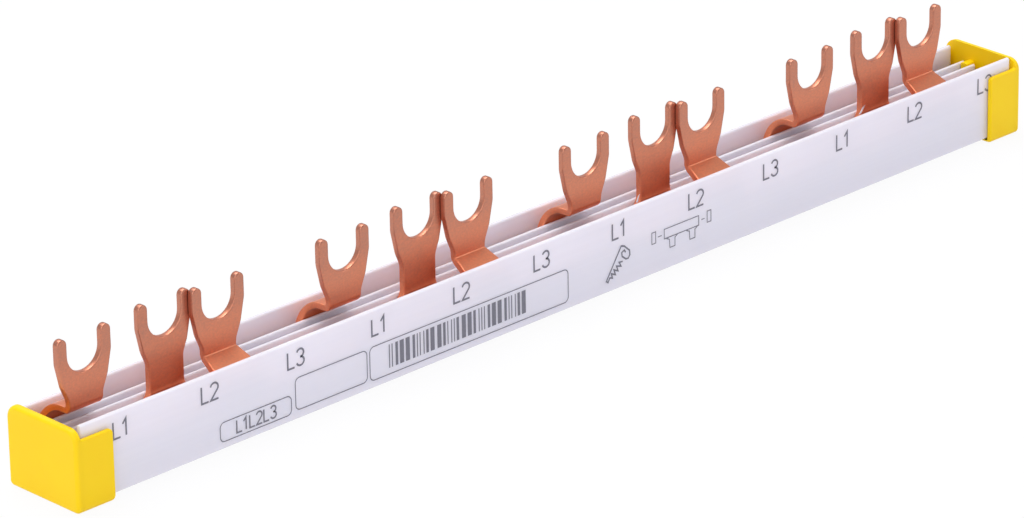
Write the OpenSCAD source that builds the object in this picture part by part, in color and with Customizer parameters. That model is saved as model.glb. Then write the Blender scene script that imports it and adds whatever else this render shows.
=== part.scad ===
// Comb busbar with fork terminals for three phases.
// Three stamped and bent copper combs stand in an open-topped insulating
// channel, and a slip-on cap closes each end. X runs along the row of
// devices, Y from the printed front wall to the rear, Z up from the
// underside of the end caps. The origin is midway between the caps.

/* [Row of devices] */
// Width of one device module
module_w = 17.8; // [17.5:0.1:18.2]
// Groups of three modules, each served by one fork of each phase
groups = 4; // [2:1:5]
// How much shorter than the row of modules the housing is cut
cut_short = 3.4; // [2:0.2:6]

/* [Housing] */
// Depth over the front and rear walls
housing_d = 14.3; // [14:0.1:16]
// Height of the front wall over the underside
front_wall_h = 13.3; // [12.5:0.1:14.5]
// Height of the rear wall over the underside
rear_wall_h = 12; // [11:0.1:14]
// Thickness of the front and rear walls
wall_t = 0.8; // [0.7:0.05:1]
// Thickness of the floor
floor_t = 0.8; // [0.6:0.05:1.2]
// Thickness of the three partitions
partition_t = 0.6; // [0.5:0.05:0.7]
// Height of the partitions over the underside
partition_h = 10.05; // [9:0.05:10.5]
// Height of the locating ribs over the floor
rib_h = 2.6; // [1.5:0.1:5]
// Side clearance between a bar's rail and its ribs
rib_gap = 0.1; // [0.05:0.05:0.2]
// Clearance between a bar and the partition beside it
channel_gap = 0.2; // [0.1:0.05:0.3]

/* [Copper combs] */
// Thickness of the copper sheet
sheet_t = 1.1; // [0.9:0.05:1.2]
// Height of the rail that joins the forks of one phase
rail_h = 7.85; // [6:0.05:8]
// Distance of each rail's ends from the ends of the housing
rail_inset = 1.6; // [1.4:0.1:5]
// Front bar's centre plane, from the front wall's outer face
front_bar_y = 1.9; // [1.7:0.05:2.3]
// Middle bar's centre plane, forward of the middle of the depth
middle_bar_y = 0.1; // [0:0.05:0.3]
// Rear bar's centre plane, from the rear wall's outer face
rear_bar_y = 2.75; // [2.3:0.05:2.9]
// Air gap between the bent bars' blades and the plane of the middle bar
blade_gap = 0.1; // [0.05:0.05:0.3]

/* [Forks] */
// Height of the fork tips over the housing's underside
tip_h = 25.15; // [24:0.05:26]
// Width over the two prongs
fork_w = 10.6; // [10.2:0.05:11.2]
// Width of the slot that the terminal screw enters
slot_w = 6.75; // [6:0.05:7.2]
// Depth of the slot
slot_depth = 6.4; // [5.5:0.05:7]
// Height of the straight sides below the tips
side_h = 4.1; // [3.5:0.1:4.8]
// Angle at which the head's sides close in below that
head_taper = 12.5; // [10:0.5:18]
// Height of the shoulders below the tips
shoulder_h = 8.1; // [7:0.1:9]
// Angle at which the shoulders run in to the neck
shoulder_angle = 22.5; // [20:0.5:30]
// Radius of the corners down the fork's sides
side_r = 3; // [1:0.5:4]
// Neck width of the two bent bars
neck_w = 6.7; // [6:0.1:7]
// Root width of the two bent bars, where they leave the rail
root_w = 10; // [8:0.1:12]
// Stem width of the straight middle bar
stem_w = 7; // [6.2:0.1:7.4]
// Radius of the fillet between the middle bar's stem and its rail
stem_fillet = 2.1; // [1:0.1:2.6]
// Rear bar's first fork, from the start of the row of modules
rear_fork_x = 7.65; // [7.2:0.05:8]
// Middle bar's first fork, from the start of the row of modules
middle_fork_x = 24.75; // [24.3:0.05:25.2]
// Front bar's first fork, from the start of the row of modules
front_fork_x = 34.7; // [34.3:0.05:35.2]

/* [Bends] */
// Height of the rear bar's level run over the underside, to its middle
level_run_h = 12.85; // [12.6:0.05:13.1]
// Inner radius of the bend at the foot of the rear bar's blade
foot_r = 0.5; // [0.3:0.05:0.8]
// Inner radius of the wide bend down into the rear channel
arch_r = 3; // [1.5:0.1:3.2]
// Height of the front bar's fold over the underside, to its middle
fold_h = 13.1; // [12.8:0.05:13.4]
// Slope of the front bar's run between its two folds
fold_slope = 27; // [20:1:32]
// Inner radius of the front bar's upper fold
fold_r = 0.3; // [0.2:0.05:0.6]
// Inner radius of the front bar's lower fold
lower_fold_r = 1; // [0.5:0.05:1.2]

/* [End caps] */
// Thickness of the cap's walls round the housing
cap_t = 0.9; // [0.7:0.05:1.1]
// Thickness of the cap's floor under the housing
cap_floor_t = 0.65; // [0.5:0.05:0.9]
// Thickness of the end plate
plate_t = 1.1; // [0.9:0.05:1.4]
// Height of the end plate
plate_h = 13.7; // [13:0.1:14.4]
// Height of the front and rear flanges
flange_h = 12.1; // [10:0.1:12.6]
// Length of the cap over its flanges
cap_l = 7.5; // [6:0.1:10]
// Clearance between the cap and the housing
cap_gap = 0.1; // [0.05:0.05:0.2]
// Gap between the end plate and the housing's end
end_gap = 0.8; // [0.3:0.1:1]
// Corner radius at the front of the end plate's top
front_corner_r = 2; // [1.4:0.1:2.6]
// Corner radius at the rear of the end plate's top
rear_corner_r = 2.3; // [1.4:0.1:2.8]
// Radius of the cap's outer edges and lower corners
edge_r = 0.7; // [0.4:0.05:0.9]
// Radius of the free corners of the flanges
flange_r = 0.9; // [0.5:0.1:1.4]
// Depth that the cap's tongue enters the spare channel
tongue_in = 1.2; // [0.8:0.1:1.3]
// Height of the tongue's top over the housing's underside
tongue_h = 10.25; // [9:0.05:10.5]
// Clearance between the tongue and the partitions
tongue_gap = 0.15; // [0.1:0.05:0.2]

/* [Hidden] */
$fn = 48;

// Sheet corners are drawn with one point every few degrees of bend
bend_step = 9;
// Overlap that lets cutting shapes run past what they cut
cut = 1;

group_w = 3 * module_w;
row_l = groups * group_w;
row_x = -row_l / 2;
housing_l = row_l - cut_short;
rail_l = housing_l - 2 * rail_inset;

// Heights: the caps' floor lies under the housing
underside_z = cap_floor_t + cap_gap;
floor_z = underside_z + floor_t;
rail_top_z = floor_z + rail_h;
tip_z = underside_z + tip_h;
slot_z = tip_z - slot_depth + slot_w / 2;

// Depths: front_y is the front wall's outer face
front_y = -housing_d / 2;
cap_d = housing_d + 2 * (cap_t + cap_gap);
cap_x = housing_l / 2 + end_gap + plate_t;

// Planes of the three rails, and of the blades of the two bent bars
front_plane = front_y + front_bar_y;
middle_plane = -middle_bar_y;
rear_plane = -front_y - rear_bar_y;
blade_plane = middle_plane - sheet_t - blade_gap;

// Front faces of the partitions: one on each side of the middle bar, and
// one in front of the rear bar, so that a spare channel lies between
bar_side = sheet_t / 2 + channel_gap;
front_partition_y = middle_plane - bar_side - partition_t;
middle_partition_y = middle_plane + bar_side;
rear_partition_y = rear_plane - bar_side - partition_t;

prong_w = (fork_w - slot_w) / 2;

// ---- Housing: one extruded profile, cut to length ----

// A wall that stands on the profile's floor, with a rounded top edge
module wall_profile(y, t, top_z) {
    translate([y, underside_z])
        square([t, top_z - underside_z - t / 2]);
    translate([y + t / 2, top_z - t / 2])
        circle(d = t);
}

module housing_profile() {
    rib_offset = sheet_t / 2 + rib_gap;
    rib_top_z = floor_z + rib_h;
    translate([front_y, underside_z])
        square([housing_d, floor_t]);
    wall_profile(front_y, wall_t, underside_z + front_wall_h);
    wall_profile(front_y + housing_d - wall_t, wall_t, underside_z + rear_wall_h);
    for (y = [front_partition_y, middle_partition_y, rear_partition_y])
        wall_profile(y, partition_t, underside_z + partition_h);
    // low ribs keep the outer rails upright in their wider channels
    for (y = [front_plane, rear_plane])
        wall_profile(y + rib_offset, partition_t, rib_top_z);
}

module housing() {
    color("whitesmoke")
        along_x(housing_l)
            housing_profile();
}

// Extrudes a Y-Z profile along X, centred on the middle of the row
module along_x(length) {
    rotate([90, 0, 90])
        translate([0, 0, -length / 2])
            linear_extrude(length)
                children();
}

// ---- Forks: their outline seen from the front ----

// Points of an arc about a centre, from one angle to another
function arc(c, r, a0, a1, n) =
    [for (i = [0:n]) c + r * [cos(a0 + (a1 - a0) * i / n), sin(a0 + (a1 - a0) * i / n)]];

function unit(v) = v / norm(v);
function left_of(v) = [-v[1], v[0]];

// Points round the corner at b of a path from a to c that bends at radius
// r, all moved by left to the path's left
function corner(a, b, c, r, left = 0) =
    let (u = unit(b - a),
         v = unit(c - b),
         turn = u[0] * v[1] - u[1] * v[0] > 0 ? 1 : -1,
         angle = acos(u * v),
         centre = b - u * r * tan(angle / 2) + turn * r * left_of(u),
         start = -turn * left_of(u),
         n = ceil(angle / bend_step))
    [for (i = [0:n])
        let (t = turn * angle * i / n)
        centre + (r - turn * left)
            * [start[0] * cos(t) - start[1] * sin(t), start[0] * sin(t) + start[1] * cos(t)]];

function mirrored(points) =
    [for (i = [len(points) - 1:-1:0]) [-points[i][0], points[i][1]]];

// Right side of a fork: straight, closing in to the shoulder, then closing
// in faster to the neck, down to the top of the root. A low fork or a wide
// head reaches the root before its side has closed in to the neck's width.
function fork_side(neck, root_z) =
    let (x = fork_w / 2,
         top = [x, tip_z - prong_w / 2],
         side_end = [x, tip_z - side_h],
         shoulder = [x - (shoulder_h - side_h) * tan(head_taper), tip_z - shoulder_h],
         drop = min((shoulder[0] - neck / 2) / tan(shoulder_angle),
                    shoulder[1] - root_z - side_r * tan(shoulder_angle / 2)),
         neck_top = shoulder - drop * [tan(shoulder_angle), 1],
         root = [neck_top[0], root_z])
    concat([top], corner(top, side_end, shoulder, side_r),
           corner(side_end, shoulder, neck_top, side_r),
           corner(shoulder, neck_top, root, side_r), [root]);

// Outline of one fork, from its tips down to just inside the rail
module fork_outline(side) {
    difference() {
        union() {
            polygon(concat(side, mirrored(side)));
            for (s = [-1, 1])
                translate([s * (fork_w - prong_w) / 2, tip_z - prong_w / 2])
                    circle(d = prong_w);
        }
        translate([0, slot_z])
            circle(d = slot_w);
        translate([-slot_w / 2, slot_z])
            square([slot_w, slot_depth + cut]);
    }
}

// Side of a fork whose root widens evenly from root_z down to the rail
function tapered_side(root_z) =
    concat(fork_side(neck_w, root_z),
           [[root_w / 2, rail_top_z], [root_w / 2, rail_top_z - cut]]);

// Side of a fork whose root has a round fillet on the rail
function filleted_side() =
    let (x = stem_w / 2 + stem_fillet, z = rail_top_z + stem_fillet)
    concat(fork_side(stem_w, z), arc([x, z], stem_fillet, 180, 270, 6),
           [[x, rail_top_z - cut]]);

// ---- Sheet sections: the path of the bent copper seen from the end ----

// One face of a sheet that runs along a path with a bend at each inner
// point: side is 1 for the left face and -1 for the right face, and radii
// holds the inner radius of each bend
function sheet_face(path, radii, side) =
    let (last = len(path) - 1,
         off = side * sheet_t / 2,
         first_n = left_of(unit(path[1] - path[0])),
         last_n = left_of(unit(path[last] - path[last - 1])))
    concat([path[0] + off * first_n],
           [for (i = [1:1:last - 1])
                each corner(path[i - 1], path[i], path[i + 1], radii[i - 1] + sheet_t / 2, off)],
           [path[last] + off * last_n]);

function reversed(points) = [for (i = [len(points) - 1:-1:0]) points[i]];

module sheet_section(path, radii) {
    polygon(concat(sheet_face(path, radii, 1), reversed(sheet_face(path, radii, -1))));
}

// The paths run from above the fork tips down into the rail
front_path = [[blade_plane, tip_z + cut],
              [blade_plane, underside_z + fold_h],
              [front_plane, underside_z + fold_h - (blade_plane - front_plane) * tan(fold_slope)],
              [front_plane, rail_top_z - cut]];
middle_path = [[middle_plane, tip_z + cut], [middle_plane, rail_top_z - cut]];
rear_path = [[blade_plane, tip_z + cut],
             [blade_plane, underside_z + level_run_h],
             [rear_plane, underside_z + level_run_h],
             [rear_plane, rail_top_z - cut]];

// ---- Comb bars: a rail with one fork to each group of modules ----

// side holds the points down the right side of a fork
module comb_bar(plane, first_x, path, radii, side) {
    translate([-rail_l / 2, plane - sheet_t / 2, floor_z])
        cube([rail_l, sheet_t, rail_h]);
    for (i = [0:groups - 1])
        translate([row_x + first_x + i * group_w, 0, 0])
            intersection() {
                along_x(root_w + fork_w)
                    sheet_section(path, radii);
                rotate([90, 0, 0])
                    translate([0, 0, -housing_d])
                        linear_extrude(2 * housing_d)
                            fork_outline(side);
            }
}

module front_comb_bar() {
    color("peru")
        comb_bar(front_plane, front_fork_x, front_path, [fold_r, lower_fold_r],
                 tapered_side(underside_z + fold_h));
}

module middle_comb_bar() {
    color("peru")
        comb_bar(middle_plane, middle_fork_x, middle_path, [], filleted_side());
}

module rear_comb_bar() {
    color("peru")
        comb_bar(rear_plane, rear_fork_x, rear_path, [foot_r, arch_r],
                 tapered_side(underside_z + level_run_h));
}

// ---- End caps: a plate with flanges round three sides and a tongue ----

// A square with its own radius at each corner, anticlockwise from the
// lower left
module rounded_square(size, radii) {
    w = size[0];
    h = size[1];
    polygon(concat(arc([radii[0], radii[0]], radii[0], 180, 270, 6),
                   arc([w - radii[1], radii[1]], radii[1], 270, 360, 6),
                   arc([w - radii[2], h - radii[2]], radii[2], 0, 90, 8),
                   arc([radii[3], h - radii[3]], radii[3], 90, 180, 8)));
}

// The right cap, with its end plate's outer face at cap_x
module end_cap() {
    cavity_d = housing_d + 2 * cap_gap;
    tongue_l = end_gap + tongue_in;
    tongue_y = middle_partition_y + partition_t + tongue_gap;
    tongue_t = rear_partition_y - tongue_gap - tongue_y;
    difference() {
        intersection() {
            // seen along X: the end plate's own outline
            translate([cap_x - cap_l, -cap_d / 2, 0])
                rotate([90, 0, 90])
                    linear_extrude(cap_l)
                        rounded_square([cap_d, plate_h],
                                       [edge_r, edge_r, rear_corner_r, front_corner_r]);
            // seen along Y: rounded outer edges, the flanges' free corners
            // and the step from the end plate down to the flanges
            translate([0, cap_d / 2, 0])
                rotate([90, 0, 0])
                    linear_extrude(cap_d)
                        union() {
                            translate([cap_x - cap_l, 0])
                                rounded_square([cap_l, flange_h],
                                               [flange_r, edge_r, 0.01, flange_r]);
                            translate([cap_x - plate_t, 0])
                                rounded_square([plate_t, plate_h],
                                               [0.01, edge_r, edge_r, 0.2]);
                        }
            // seen along Z: rounded upright edges
            linear_extrude(plate_h)
                translate([cap_x - cap_l, -cap_d / 2])
                    rounded_square([cap_l, cap_d], [0.2, edge_r, edge_r, 0.2]);
        }
        // room for the housing
        translate([cap_x - cap_l - cut, -cavity_d / 2, cap_floor_t])
            cube([cap_l - plate_t + cut, cavity_d, plate_h]);
    }
    // the tongue plugs into the spare channel
    translate([cap_x - plate_t - tongue_l, tongue_y, floor_z + tongue_gap])
        cube([tongue_l + plate_t / 2, tongue_t, underside_z + tongue_h - floor_z - tongue_gap]);
}

module right_end_cap() {
    color("gold")
        end_cap();
}

module left_end_cap() {
    color("gold")
        mirror([1, 0, 0])
            end_cap();
}

housing();
front_comb_bar();
middle_comb_bar();
rear_comb_bar();
left_end_cap();
right_end_cap();
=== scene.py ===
import math
import bpy
from mathutils import Matrix, Vector


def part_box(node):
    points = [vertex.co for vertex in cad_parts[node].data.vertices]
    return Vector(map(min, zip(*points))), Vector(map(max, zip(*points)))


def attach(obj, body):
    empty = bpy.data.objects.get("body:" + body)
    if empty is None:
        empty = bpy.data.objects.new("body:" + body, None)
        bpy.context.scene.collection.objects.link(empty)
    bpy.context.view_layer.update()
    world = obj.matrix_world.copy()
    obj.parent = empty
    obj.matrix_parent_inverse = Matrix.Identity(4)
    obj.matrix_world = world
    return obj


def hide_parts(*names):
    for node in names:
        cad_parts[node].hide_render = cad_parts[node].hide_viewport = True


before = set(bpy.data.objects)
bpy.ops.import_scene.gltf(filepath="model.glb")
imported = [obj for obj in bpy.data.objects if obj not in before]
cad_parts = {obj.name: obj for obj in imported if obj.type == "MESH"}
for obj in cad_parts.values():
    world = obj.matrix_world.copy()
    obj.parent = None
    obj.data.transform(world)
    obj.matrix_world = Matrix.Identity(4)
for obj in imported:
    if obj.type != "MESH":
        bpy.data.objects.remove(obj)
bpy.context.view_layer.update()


# ---- Camera ----
# A long lens from the front left, a little above the row, so that the
# open channel and the bends of the copper show over the front wall.

right = Vector((0.71625, -0.69766, -0.01594))
up = Vector((0.28400, 0.27055, 0.91986))
camera = bpy.data.objects.new("camera", bpy.data.cameras.new("camera"))
camera.matrix_world = Matrix((right, up, right.cross(up))).transposed().to_4x4()
camera.location = (-0.6259, -0.64335, 0.3892)
camera.data.sensor_fit = "HORIZONTAL"
camera.data.sensor_width = 36
camera.data.lens = 211.07
camera.data.clip_start = 0.05
camera.data.clip_end = 10
bpy.context.scene.collection.objects.link(camera)
bpy.context.scene.camera = camera


# ---- Studio ----
# A white table under large soft lights: a broad panel at the left, a
# weaker one at the front right, one overhead, and pale surroundings.

def linear(code):
    """Colour given as sRGB hex, as the linear values that shaders take."""
    parts = [int(code[i:i + 2], 16) / 255 for i in (0, 2, 4)]
    return [c / 12.92 if c <= 0.04045 else ((c + 0.055) / 1.055) ** 2.4 for c in parts] + [1]


def add_node(tree, kind, values={}, links={}, **settings):
    """A shader node with values on its sockets, links into them, and its own settings.

    A Mix node that mixes colours takes them on sockets 6 and 7, and gives its result on 2."""
    new = tree.nodes.new("ShaderNode" + kind)
    for name, value in settings.items():
        setattr(new, name, value)
    for socket, value in values.items():
        new.inputs[socket].default_value = value
    for socket, source in links.items():
        tree.links.new(source, new.inputs[socket])
    return new


scene = bpy.context.scene
scene.view_settings.view_transform = "Standard"
world = bpy.data.worlds.new("studio")
world.use_nodes = True
world.node_tree.nodes["Background"].inputs["Color"].default_value = linear("f8f7fc")
world.node_tree.nodes["Background"].inputs["Strength"].default_value = 0.64
scene.world = world

for name, place, size, power in (("key", (-0.66, -0.26, 0.45), 0.75, 2.2),
                                 ("fill", (0.8, -0.85, 0.5), 0.4, 1.3),
                                 ("top", (0.1, 0.5, 1.4), 1.0, 14)):
    light = bpy.data.objects.new(name, bpy.data.lights.new(name, "AREA"))
    light.data.size = size
    light.data.energy = power
    light.location = place
    light.rotation_euler = (-light.location).to_track_quat("-Z", "Y").to_euler()
    scene.collection.objects.link(light)

bpy.ops.mesh.primitive_plane_add(size=8)
floor = bpy.context.object
floor.name = "table"
# Matt paper: nearly white where the eye or a reflection meets it, dimmed
# by the object's soft shadow, and lit mostly by the lamps otherwise.
always_white, more_when_seen = 0.28, 0.65
paper = bpy.data.materials.new("White paper backdrop, matt")
paper.use_nodes = True
tree = paper.node_tree
tree.nodes.clear()
rays = add_node(tree, "LightPath").outputs
seen = add_node(tree, "Math", {}, {0: rays["Is Camera Ray"], 1: rays["Is Glossy Ray"]},
                operation="MAXIMUM")
seen = add_node(tree, "Math", {}, {0: seen.outputs[0], 1: rays["Is Transmission Ray"]},
                operation="MAXIMUM")
share = add_node(tree, "Math", {1: more_when_seen, 2: always_white}, {0: seen.outputs[0]},
                 operation="MULTIPLY_ADD")
matt = add_node(tree, "BsdfDiffuse", {"Color": linear("ecebf2")})
glow = add_node(tree, "Emission", {"Strength": 1})
surface = add_node(tree, "MixShader", {},
                   {0: share.outputs[0], 1: matt.outputs[0], 2: glow.outputs[0]})
add_node(tree, "OutputMaterial", {}, {"Surface": surface.outputs[0]})
floor.data.materials.append(paper)


# ---- Housing ----
# An open-topped channel of white PVC, extruded in one profile with three
# partitions and cut to length. The extrusion is glossy and slightly
# translucent, with faint lines along its length.

def plastic_or_metal(name, values):
    """A new material with values on its shader, and the node tree and shader for its pattern."""
    material = bpy.data.materials.new(name)
    material.use_nodes = True
    shader = material.node_tree.nodes["Principled BSDF"]
    for socket, value in values.items():
        shader.inputs[socket].default_value = value
    return material, material.node_tree, shader


def add(name, verts_mm, faces, material, stands_for=()):
    """A piece of the dressed part, from vertices in millimetres."""
    mesh = bpy.data.meshes.new(name)
    mesh.from_pydata([[c / 1000 for c in v] for v in verts_mm], [], faces)
    mesh.validate()
    mesh.shade_smooth()
    mesh.set_sharp_from_angle(angle=math.radians(38))
    mesh.materials.append(material)
    piece = bpy.data.objects.new(name, mesh)
    scene.collection.objects.link(piece)
    normals = piece.modifiers.new("flat faces stay flat", "WEIGHTED_NORMAL")
    normals.keep_sharp = True
    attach(piece, "root")
    if stands_for:
        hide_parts(*stands_for)


def rounded(corners, step=15):
    """A closed outline of (x, y, radius) corners, each turned in steps of so many degrees."""
    points = []
    for i, (x, y, r) in enumerate(corners):
        here = Vector((x, y))
        a = (Vector(corners[i - 1][:2]) - here).normalized()
        b = (Vector(corners[(i + 1) % len(corners)][:2]) - here).normalized()
        turn = math.pi - a.angle(b)
        if r == 0 or turn < 0.01:
            points.append(here)
            continue
        centre = here + (a + b).normalized() * r / math.cos(turn / 2)
        start = here + a * r * math.tan(turn / 2) - centre
        sense = 1 if a.cross(b) < 0 else -1
        n = max(1, round(math.degrees(turn) / step))
        for k in range(n + 1):
            points.append(centre + Matrix.Rotation(sense * turn * k / n, 2) @ start)
    return points


def lofted(stations, side=1):
    """A closed solid through outlines of equal count, each at its own x; side -1 mirrors it."""
    m = len(stations[0][1])
    verts = [(side * x, p.x, p.y) for x, outline in stations for p in outline]
    faces = [(k * m + i, k * m + (i + 1) % m, (k + 1) * m + (i + 1) % m, (k + 1) * m + i)
             for k in range(len(stations) - 1) for i in range(m)]
    faces += [tuple(reversed(range(m))), tuple(range(len(verts) - m, len(verts)))]
    return verts, [face if side > 0 else face[::-1] for face in faces]


# Glossy PVC lets a little light through its thin walls. The die draws
# faint lines along it, just under a millimetre apart.
pvc, tree, shader = plastic_or_metal("White rigid PVC, extruded", {
    "Roughness": 0.24, "IOR": 1.53, "Subsurface Weight": 0.6, "Subsurface Scale": 0.002,
    "Subsurface Radius": (1, 0.9, 0.8)})
place = add_node(tree, "TexCoord").outputs["Object"]
across, lengthwise = 1200, 12  # lines to the metre
drawn = add_node(tree, "Mapping", {"Scale": (lengthwise, across, across)}, {"Vector": place})
lines = add_node(tree, "TexNoise", {"Scale": 1, "Detail": 3}, {"Vector": drawn.outputs[0]})
colour = add_node(tree, "Mix", {6: linear("e6e3ee"), 7: linear("ebe8f2")},
                  {0: lines.outputs["Fac"]}, data_type="RGBA")
relief = add_node(tree, "Bump", {"Strength": 0.6, "Distance": 0.000004},
                  {"Height": lines.outputs["Fac"]})
tree.links.new(colour.outputs[2], shader.inputs["Base Color"])
tree.links.new(relief.outputs[0], shader.inputs["Normal"])

low, high = [corner * 1000 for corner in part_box("housing")]
front_y, rear_y, base_z = low.y, high.y, low.z
wall, floor_t, partition = 0.8, 0.8, 0.6
floor_z, partition_top, rear_top = base_z + floor_t, base_z + 10.05, base_z + 12
lip_r, partition_lip_r = 0.38, 0.28
outer_r, inner_r, partition_foot_r = 0.25, 0.3, 0.2
# the planes of the three rails, and the front faces of the partitions beside them
sheet_t, channel_gap = 1.1, 0.2
front_bar, middle_bar, rear_bar = front_y + 1.9, -0.1, rear_y - 2.75
beside = sheet_t / 2 + channel_gap
partition_fronts = [middle_bar - beside - partition, middle_bar + beside,
                    rear_bar - beside - partition]
profile = [(front_y, base_z, outer_r), (rear_y, base_z, outer_r),
           (rear_y, rear_top, lip_r), (rear_y - wall, rear_top, lip_r),
           (rear_y - wall, floor_z, inner_r)]
for face in reversed(partition_fronts):
    profile += [(face + partition, floor_z, partition_foot_r),
                (face + partition, partition_top, partition_lip_r),
                (face, partition_top, partition_lip_r), (face, floor_z, partition_foot_r)]
profile += [(front_y + wall, floor_z, inner_r), (front_y + wall, high.z, lip_r),
            (front_y, high.z, lip_r)]
section = rounded(profile)
verts, faces = lofted([(low.x, section), (high.x, section)])
add("channel", verts, faces, pvc, ["housing"])

# two slivers that the saw or the punch tore off, caught at the roots of forks
verts, faces = [], []
for x, lean in ((19.9, 0.9), (73.8, 1.6)):
    base = len(verts)
    verts += [(x + dx, y, z) for dx, y, z in (
        (0, -0.85, 10.9), (0.55, -0.8, 10.8), (lean, -0.9, 12.3),
        (lean * 0.4, -1, 12), (lean * 0.3, -1.15, 11.3))]
    faces += [tuple(base + i for i in face)
              for face in ((0, 1, 4), (1, 2, 4), (2, 3, 4), (3, 0, 4), (0, 3, 2, 1))]
add("slivers", verts, faces, pvc)


# ---- Copper combs ----
# Each phase's comb is one piece of half-hard copper sheet, stamped to
# its outline and bent. The punch leaves the front edges rolled over and
# the rear ones nearly square, and the sheet keeps its fine rolled grain.

def track(points, radii):
    """The sheet's middle seen from the end, from the fork tips down, as straight runs and bends.

    Each is (length, start, heading, turn, radius), with a turn of 0 where it is straight."""
    runs = []
    start = Vector(points[0])
    for i in range(1, len(points)):
        here = Vector(points[i])
        heading = (here - Vector(points[i - 1])).normalized()
        turn, stop = 0, here
        if i < len(points) - 1:
            after = (Vector(points[i + 1]) - here).normalized()
            turn, r = -heading.angle_signed(after), radii[i - 1]
            stop = here - heading * r * math.tan(abs(turn) / 2)
        runs.append(((stop - start).length, start, heading, 0, 0))
        if turn:
            runs.append((abs(turn) * r, stop, heading, turn, r))
            start = here + after * r * math.tan(abs(turn) / 2)
    return runs


def along(runs, s):
    """Place and heading at distance s down the sheet."""
    for run in runs:
        length, start, heading, turn, r = run
        if s <= length or run is runs[-1]:
            break
        s -= length
    if not turn:
        return start + heading * s, heading
    angle = math.copysign(s / r, turn)
    side = Vector((-heading.y, heading.x)) * math.copysign(1, turn)
    centre = start + side * r
    bend = Matrix.Rotation(angle, 2)
    return centre + bend @ (start - centre), bend @ heading


def inset(loop, d):
    """The loop moved inwards by d."""
    moved = []
    for i, p in enumerate(loop):
        a = (p - loop[i - 1]).normalized()
        b = (loop[(i + 1) % len(loop)] - p).normalized()
        na, nb = Vector((-a.y, a.x)), Vector((-b.y, b.x))
        moved.append(p + (na + nb) * d / (1 + na.dot(nb)))
    return moved


roll, burr = 0.22, 0.1
fork_w, slot_w, slot_depth = 10.6, 6.75, 6.4
side_h, head_taper, shoulder_h, shoulder_angle, side_r = 4.1, 12.5, 8.1, 22.5, 3
rail_foot, rail_h = floor_z, 7.85
rail_top = rail_foot + rail_h
tip_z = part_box("middle_comb_bar")[1].z * 1000
row_start, group, forks_per_comb = -106.8, 53.4, 4


def head(neck):
    """Right half of a fork, from the slot's bottom over the tip, at y = 0, down to the neck."""
    slot_r, tip_r = slot_w / 2, (fork_w - slot_w) / 4
    quarter = [math.radians(a) for a in range(0, 91, 9)]
    half_turn = [math.radians(a) for a in range(0, 181, 18)]
    tip = Vector((slot_r + tip_r, -tip_r))
    points = [Vector((slot_r * math.sin(t), slot_r - slot_depth - slot_r * math.cos(t)))
              for t in quarter]
    points += [tip + tip_r * Vector((-math.cos(t), math.sin(t))) for t in half_turn]
    shoulder = fork_w / 2 - (shoulder_h - side_h) * math.tan(math.radians(head_taper))
    neck_top = -shoulder_h - (shoulder - neck / 2) / math.tan(math.radians(shoulder_angle))
    # an outline closed through the middle, of which the side's own corners are kept
    corners = rounded([(0, 0, 0), (fork_w / 2, 0, 0), (fork_w / 2, -side_h, side_r),
                       (shoulder, -shoulder_h, side_r), (neck / 2, neck_top, side_r),
                       (neck / 2, neck_top - side_r, 0), (0, neck_top - side_r, 0)], 4)
    return points + corners[2:-2]


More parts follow.
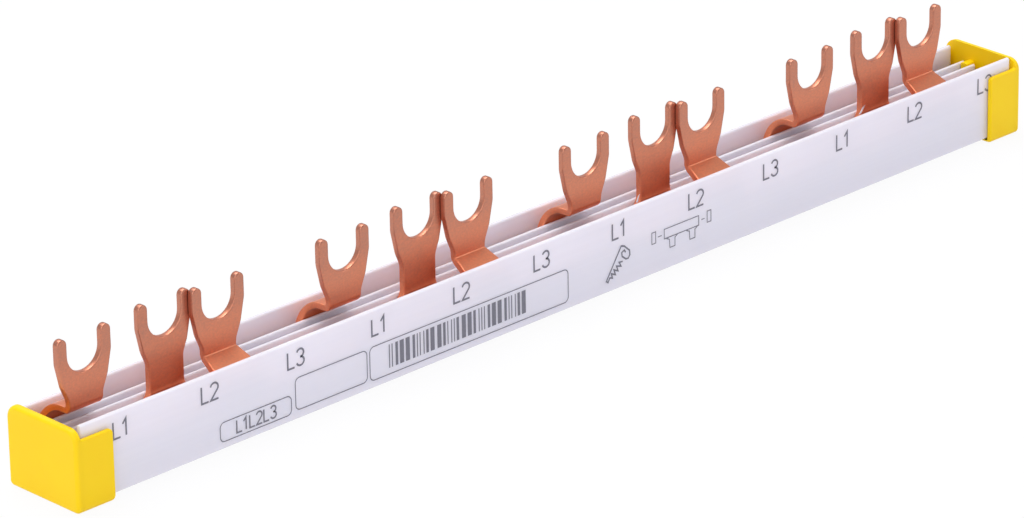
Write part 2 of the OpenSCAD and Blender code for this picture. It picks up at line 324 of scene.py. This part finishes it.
def comb(name, node, first_x, points, radii, neck, width):
    """One comb as a bent sheet, with its first fork first_x from the row's start.

    points and radii are its track, neck its width under the heads, and width gives
    the stem's width at a height."""
    runs = track(points, radii)
    rail_low, rail_high = [corner * 1000 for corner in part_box(node)]
    # distances from the tip at which the stem has points: in steps of 7 degrees
    # round the bends, and close together at the foot, which widens into the rail
    levels, total = [], 0
    for length, start, heading, turn, r in runs:
        n = max(1, math.ceil(math.degrees(abs(turn)) / 7))
        levels += [total + length * k / n for k in range(n)]
        total += length
    rail_s = total - (rail_top - rail_foot)
    apart = 0.05  # the least distance from one to the next
    upper = head(neck)
    stem_s = max(runs[0][0] if len(runs) > 1 else 0, -upper[-1].y + apart)
    levels = [s for s in levels if stem_s < s < rail_s - apart]
    levels += [rail_s - above for above in (2.1, 1.7, 1.3, 0.9, 0.6, 0.3)]
    levels = [stem_s] + sorted(set(s for s in levels if s > stem_s + apart)) + [rail_s]
    half = [Vector((p.x, -p.y)) for p in upper]
    half += [Vector((width(along(runs, s)[0].y) / 2, s)) for s in levels]
    n_half, n_stem = len(half), len(levels)

    # the flat outline: four forks from left to right, then the rail
    loop, forks = [], []
    for i in range(forks_per_comb):
        x = row_start + first_x + i * group
        forks.append(len(loop))
        loop += [Vector((x - p.x, p.y)) for p in reversed(half)]
        loop += [Vector((x + p.x, p.y)) for p in half[1:]]
    rail_corners = range(len(loop), len(loop) + 4)
    loop += [Vector((rail_high.x, rail_s)), Vector((rail_high.x, total)),
             Vector((rail_low.x, total)), Vector((rail_low.x, rail_s))]

    # the edge in section, as (how far in, how far from the sheet's middle)
    edge = []
    for degrees in (0, 30, 60, 90):
        t = math.radians(degrees)
        edge.append((roll * (1 - math.sin(t)), sheet_t / 2 - roll * (1 - math.cos(t))))
    for degrees in (90, 45, 0):
        t = math.radians(degrees)
        edge.append((burr * (1 - math.sin(t)), -sheet_t / 2 + burr * (1 - math.cos(t))))
    verts = []
    for d, off_middle in edge:
        for p in inset(loop, d):
            place, heading = along(runs, p.y)
            place = place + Vector((heading.y, -heading.x)) * off_middle
            verts.append((p.x, place.x, place.y))
    m = len(loop)
    faces = [((k + 1) * m + i, (k + 1) * m + (i + 1) % m, k * m + (i + 1) % m, k * m + i)
             for k in range(len(edge) - 1) for i in range(m)]

    # the sheet's two sides: each head, the strips down its stem, and the rail
    for base, flip in ((0, False), ((len(edge) - 1) * m, True)):
        panels, rail = [], []
        for start in forks:
            last = start + 2 * n_half - 2
            panels.append(range(start + n_stem - 1, last - n_stem + 2))
            panels += [(start + k, start + k + 1, last - k - 1, last - k)
                       for k in range(n_stem - 1)]
            rail += [start, last]
        rail += rail_corners
        for panel in panels + [rail]:
            panel = [base + i for i in panel]
            faces.append(tuple(panel if flip else reversed(panel)))
    add(name, verts, faces, copper, [node])


# Bare copper, satin from rolling and tumbling. Towards the rails the colour is
# painted brighter and more orange, a painted glow for the light bounced between
# the copper and the walls inside the channel, so the forks' heads stay duller
# and pinker. Mottling is about 4 mm across, and the tumbled grain is drawn at
# half a millimetre, so that it shows.
copper, tree, shader = plastic_or_metal("Copper sheet, rolled and stamped", {"Metallic": 0.92})
place = add_node(tree, "TexCoord").outputs["Object"]
mottles, grains, grains_up = 250, 2200, 3100  # to the metre
broad = add_node(tree, "Mapping", {"Scale": (mottles, mottles, mottles)}, {"Vector": place})
patches = add_node(tree, "TexNoise", {"Scale": 1, "Detail": 4}, {"Vector": broad.outputs[0]})
fine = add_node(tree, "Mapping", {"Scale": (grains, grains, grains_up)}, {"Vector": place})
grain = add_node(tree, "TexNoise", {"Scale": 1, "Detail": 4}, {"Vector": fine.outputs[0]})
height = add_node(tree, "SeparateXYZ", {}, {0: place})
bounce_gone_z, bounce_full_z = 0.022, 0.011  # metres: no painted glow above the first, its full strength below the second
# painted light: the lower copper is painted brighter and more orange, for light bounced inside
# the channel
painted_bounce = add_node(tree, "MapRange",
                 {"From Min": bounce_gone_z, "From Max": bounce_full_z, "To Min": 0, "To Max": 0.6},
                 {"Value": height.outputs["Z"]})
tint = add_node(tree, "Math", {1: 0.25}, {0: patches.outputs["Fac"], 2: painted_bounce.outputs[0]},
                operation="MULTIPLY_ADD")
tint = add_node(tree, "Math", {1: 0.55}, {0: grain.outputs["Fac"], 2: tint.outputs[0]},
                operation="MULTIPLY_ADD")
colour = add_node(tree, "Mix", {6: linear("9e786e"), 7: linear("f2946c")},
                  {0: tint.outputs[0]}, data_type="RGBA")
satin = add_node(tree, "MapRange", {"To Min": 0.32, "To Max": 0.44},
                 {"Value": patches.outputs["Fac"]})
relief = add_node(tree, "Bump", {"Strength": 0.7, "Distance": 0.00002},
                  {"Height": grain.outputs["Fac"]})
tree.links.new(colour.outputs[2], shader.inputs["Base Color"])
tree.links.new(satin.outputs[0], shader.inputs["Roughness"])
tree.links.new(relief.outputs[0], shader.inputs["Normal"])

# the blades of the two bent combs stand just clear in front of the straight comb's
blade_y = middle_bar - sheet_t - 0.1
neck_w, root_w, stem_w, fillet = 6.7, 10, 7, 2.1
fold_z, run_z, slope_angle = base_z + 13.1, base_z + 12.85, 27
slope_drop = (blade_y - front_bar) * math.tan(math.radians(slope_angle))


def tapered(start_z):
    """The width of a bent stem, which grows evenly from the neck to the rail."""
    def width(z):
        return neck_w + (root_w - neck_w) * min(1, max(0, (start_z - z) / (start_z - rail_top)))
    return width


def filleted(z):
    """The width of a straight stem, which flares only where it meets the rail."""
    h = min(max(z - rail_top, 0), fillet)
    return stem_w + 2 * (fillet - math.sqrt(fillet ** 2 - (fillet - h) ** 2))


# the first phase arches over the partitions from the rear rail, the second
# stands straight, and the third folds back and up from the front rail
comb("l1_comb", "rear_comb_bar", 7.65,
     [(blade_y, tip_z), (blade_y, run_z), (rear_bar, run_z),
      (rear_bar, rail_foot)], [1.05, 3.55], neck_w, tapered(run_z))
comb("l2_comb", "middle_comb_bar", 24.75,
     [(middle_bar, tip_z), (middle_bar, rail_foot)], [], stem_w, filleted)
comb("l3_comb", "front_comb_bar", 34.7,
     [(blade_y, tip_z), (blade_y, fold_z), (front_bar, fold_z - slope_drop),
      (front_bar, rail_foot)], [0.85, 1.55], neck_w, tapered(fold_z))


# ---- End caps ----
# Moulded in yellow plastic and pushed over the housing's ends. Each is
# a plate with a floor and two flanges, its outer edges well rounded,
# and a tongue that plugs into the spare channel.

# Polyamide keeps the fine spark texture of its mould, six grains to the
# millimetre, and its colour drifts slowly, over about 8 mm.
yellow, tree, shader = plastic_or_metal("Yellow polyamide, moulded", {
    "Roughness": 0.42, "IOR": 1.5, "Specular IOR Level": 0.25,
    "Subsurface Weight": 0.2, "Subsurface Scale": 0.0008, "Subsurface Radius": (1, 0.7, 0.1)})
place = add_node(tree, "TexCoord").outputs["Object"]
drifts, sparks = 120, 6000  # to the metre
broad = add_node(tree, "Mapping", {"Scale": (drifts, drifts, drifts)}, {"Vector": place})
drift = add_node(tree, "TexNoise", {"Scale": 1, "Detail": 2}, {"Vector": broad.outputs[0]})
fine = add_node(tree, "Mapping", {"Scale": (sparks, sparks, sparks)}, {"Vector": place})
spark = add_node(tree, "TexNoise", {"Scale": 1, "Detail": 3}, {"Vector": fine.outputs[0]})
colour = add_node(tree, "Mix", {6: linear("f9cf00"), 7: linear("ffd800")},
                  {0: drift.outputs["Fac"]}, data_type="RGBA")
relief = add_node(tree, "Bump", {"Strength": 0.5, "Distance": 0.000006},
                  {"Height": spark.outputs["Fac"]})
tree.links.new(colour.outputs[2], shader.inputs["Base Color"])
tree.links.new(relief.outputs[0], shader.inputs["Normal"])


def turned(depth, radius):
    """How far back a rounded edge still lies at this depth from its end."""
    left = max(0, radius - depth)
    return radius - math.sqrt(radius ** 2 - left ** 2)


plate_t, cap_l, cap_floor = 1.1, 7.5, 0.65
flange_t, flange_z, rear_flange_z = 0.9, 12.1, 11.3
bottom_r, front_corner_r, rear_corner_r, rim_r = 0.9, 2, 2.3, 0.65
flange_r, corner_r = 0.3, 0.2
mouth_r, floor_mouth_r, mouth_edge_r, plate_fillet = 0.7, 0.45, 0.2, 0.6
tongue_play, tongue_low, tongue_high, tongue_l = 0.15, 1.7, 11, 2
tongue_low_r, tongue_high_r, tongue_tip_r = 0.1, 0.4, 0.09
sleeve_l = cap_l - plate_t
tongue_front = partition_fronts[1] + partition + tongue_play
tongue_rear = partition_fronts[2] - tongue_play

for side, node in ((-1, "left_end_cap"), (1, "right_end_cap")):
    low, high = [corner * 1000 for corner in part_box(node)]
    out = max(abs(low.x), abs(high.x))
    plate_x, mouth_x = out - plate_t, out - cap_l
    # the floor and the two flanges, with rounded mouths and a small fillet up to the plate
    sleeve = []
    for depth in (0, 0.03, 0.08, 0.14, 0.2, 0.3, 0.45, 0.6, 0.7,
                  5.9, 6.05, 6.2, 6.3, 6.35, sleeve_l + 0.04):
        lift, drop = turned(depth, floor_mouth_r), turned(depth, mouth_r)
        rise = turned(sleeve_l - min(depth, 6.35) + 0.1, plate_fillet)
        outline = rounded([
            (low.y, lift, bottom_r), (high.y, lift, bottom_r),
            (high.y, rear_flange_z - drop + rise, flange_r),
            (high.y - flange_t, rear_flange_z - drop + rise, flange_r),
            (high.y - flange_t, cap_floor, corner_r), (low.y + flange_t, cap_floor, corner_r),
            (low.y + flange_t, flange_z - drop + rise, flange_r),
            (low.y, flange_z - drop + rise, flange_r)])
        sleeve.append((mouth_x + depth, inset(outline, turned(depth, mouth_edge_r))))
    verts, faces = lofted(sleeve, side)
    # the plate, its outer rim turned over
    outline = rounded([(low.y, 0, bottom_r), (high.y, 0, bottom_r),
                       (high.y, high.z, rear_corner_r), (low.y, high.z, front_corner_r)])
    plate = [(plate_x, outline)]
    for degrees in range(0, 91, 15):
        t = math.radians(degrees)
        plate.append((out - rim_r * (1 - math.sin(t)), inset(outline, rim_r * (1 - math.cos(t)))))
    # the tongue in the spare channel
    outline = rounded([
        (tongue_front, tongue_low, tongue_low_r), (tongue_rear, tongue_low, tongue_low_r),
        (tongue_rear, tongue_high, tongue_high_r), (tongue_front, tongue_high, tongue_high_r)])
    tongue = [(plate_x - tongue_l + depth, inset(outline, turned(depth, tongue_tip_r)))
              for depth in (0, 0.02, 0.05, 0.09, tongue_l + 0.1)]
    for more, more_faces in (lofted(plate, side), lofted(tongue, side)):
        faces += [tuple(len(verts) + i for i in face) for face in more_faces]
        verts += more
    add("left_cap" if side < 0 else "right_cap", verts, faces, yellow, [node])


# ---- Print ----
# Thin grey ink on the front wall, printed in line as the profile leaves the
# extruder: a phase label to each module, three frames, plain bars, and two
# small drawings, of a saw and of the busbar with its caps.

# Dried ink is matt, and a little uneven from drop to drop, three to the millimetre.
ink, tree, shader = plastic_or_metal("Grey inkjet print", {"Roughness": 0.55})
place = add_node(tree, "TexCoord").outputs["Object"]
drops = 3000  # to the metre
fine = add_node(tree, "Mapping", {"Scale": (drops, drops, drops)}, {"Vector": place})
uneven = add_node(tree, "TexNoise", {"Scale": 1, "Detail": 2}, {"Vector": fine.outputs[0]})
colour = add_node(tree, "Mix", {6: linear("6c6b76"), 7: linear("7e7d88")},
                  {0: uneven.outputs["Fac"]}, data_type="RGBA")
tree.links.new(colour.outputs[2], shader.inputs["Base Color"])

verts, faces = [], []
ink_t = 0.012


def ink_on(points, width, closed=False):
    """A line of even width along the points, laid on the front wall."""
    points = [Vector(p) for p in points]
    n, base = len(points), len(verts)
    for i, p in enumerate(points):
        before = (p - points[i - 1]).normalized() if i or closed else (points[1] - p).normalized()
        after = (points[(i + 1) % n] - p).normalized() if i < n - 1 or closed else before
        na, nb = Vector((-before.y, before.x)), Vector((-after.y, after.x))
        offset = (na + nb) / (1 + na.dot(nb)) * width / 2
        verts.extend((q.x, front_y - ink_t, q.y) for q in (p + offset, p - offset))
    for i in range(n if closed else n - 1):
        j = (i + 1) % n
        faces.append((base + 2 * i, base + 2 * i + 1, base + 2 * j + 1, base + 2 * j))


def glyph(mark, h):
    """Strokes of one plain sans-serif sign of height h, and how far on the next one stands."""
    def arc(cx, cy, rx, ry, a0, a1, n=12):
        turns = [math.radians(a0 + (a1 - a0) * k / n) for k in range(n + 1)]
        return [(cx + rx * math.cos(t), cy + ry * math.sin(t)) for t in turns]
    w = 0.56 * h
    if mark == "L":
        return [[(0, h), (0, 0), (0.5 * h, 0)]], 0.66 * h
    if mark == "1":
        return [[(0.02 * h, 0.72 * h), (0.26 * h, h), (0.26 * h, 0)]], 0.62 * h
    if mark == "2":
        return [arc(w / 2, 0.73 * h, w / 2, 0.27 * h, 165, -30) + [(0, 0), (w, 0)]], 0.74 * h
    return [arc(w / 2, 0.75 * h, w * 0.46, 0.25 * h, 160, -90),
            arc(w / 2, 0.26 * h, w / 2, 0.26 * h, 90, -165)], 0.74 * h


def write(word, x, z, h, width):
    """A word of L, 1, 2 and 3, with its lower left corner at x, z."""
    for mark in word:
        lines, advance = glyph(mark, h)
        for line in lines:
            ink_on([(x + px, z + pz) for px, pz in line], width)
        x += advance


left_end, pitch, modules = -107, 17.8, 12
for i in range(modules):
    write("L%d" % (i % 3 + 1), left_end + 8.3 + pitch * i, 9.62, 2.8, 0.33)

# three thin frames: the phases in use, a blank one, and one with plain bars
thin, frame_r = 0.17, 0.9
for x0, z0, x1, z1 in ((-77.4, 1.95, -62.6, 5.2), (-61.7, 2.25, -46.5, 7.7),
                       (-45.9, 2.05, -2.1, 7.8)):
    ink_on(rounded([(x, z, frame_r) for x, z in ((x0, z0), (x1, z0), (x1, z1), (x0, z1))]),
           thin, True)
write("L1L2L3", -74, 2.55, 2.1, 0.28)
x, bars_low, bars_high = -41.8, 3.1, 7.1
bar_widths, bar_gaps = (0.22, 0.22, 0.9, 0.22, 0.55), (0.38, 0.6, 0.38)
for i in range(32):
    width = bar_widths[i * i % 7 % 5]
    ink_on([(x + width / 2, bars_low), (x + width / 2, bars_high)], width)
    x += width + bar_gaps[i % 3]

# a small saw, for the housing can be cut to length
teeth = [(10.4, 5.2), (9.6, 5.3), (10, 4.5), (9, 4.8), (9.3, 3.9), (8.4, 4.3), (8.7, 3.4),
         (7.8, 3.8), (8, 3), (7.4, 3.2), (7, 2.5), (6.6, 2.8)]
handle = [(10.1, 8), (10.8, 7.8), (12, 6.7), (12.1, 5.9), (11.7, 5.4), (11.2, 5.4),
          (10.3, 6.1), (10.2, 6.8), (10.8, 7.1), (11.1, 6.6)]
ink_on(teeth + handle, 0.27)

# a busbar with two forks, and a cap at each end of it
ink_on([(20.1, 7.9), (28.2, 7.9), (28.2, 6.2), (20.1, 6.2)], thin, True)
for x in (20.6, 25.3):
    ink_on([(x, 6.1), (x + 0.7, 5.8), (x + 0.8, 4.3), (x + 2, 4.3), (x + 2, 5.8), (x + 2.6, 6.1)],
           thin)
for x in (17.2, 30.2):
    ink_on([(x, 8.1), (x + 0.9, 8.1), (x + 0.9, 6.1), (x, 6.1)], thin, True)
for x0, x1 in ((18.6, 19.5), (28.8, 29.6)):
    ink_on([(x0, 7), (x1, 7)], thin)
add("print", verts, faces, ink)


# ---- Bring the scene up to date ----

bpy.context.view_layer.update()
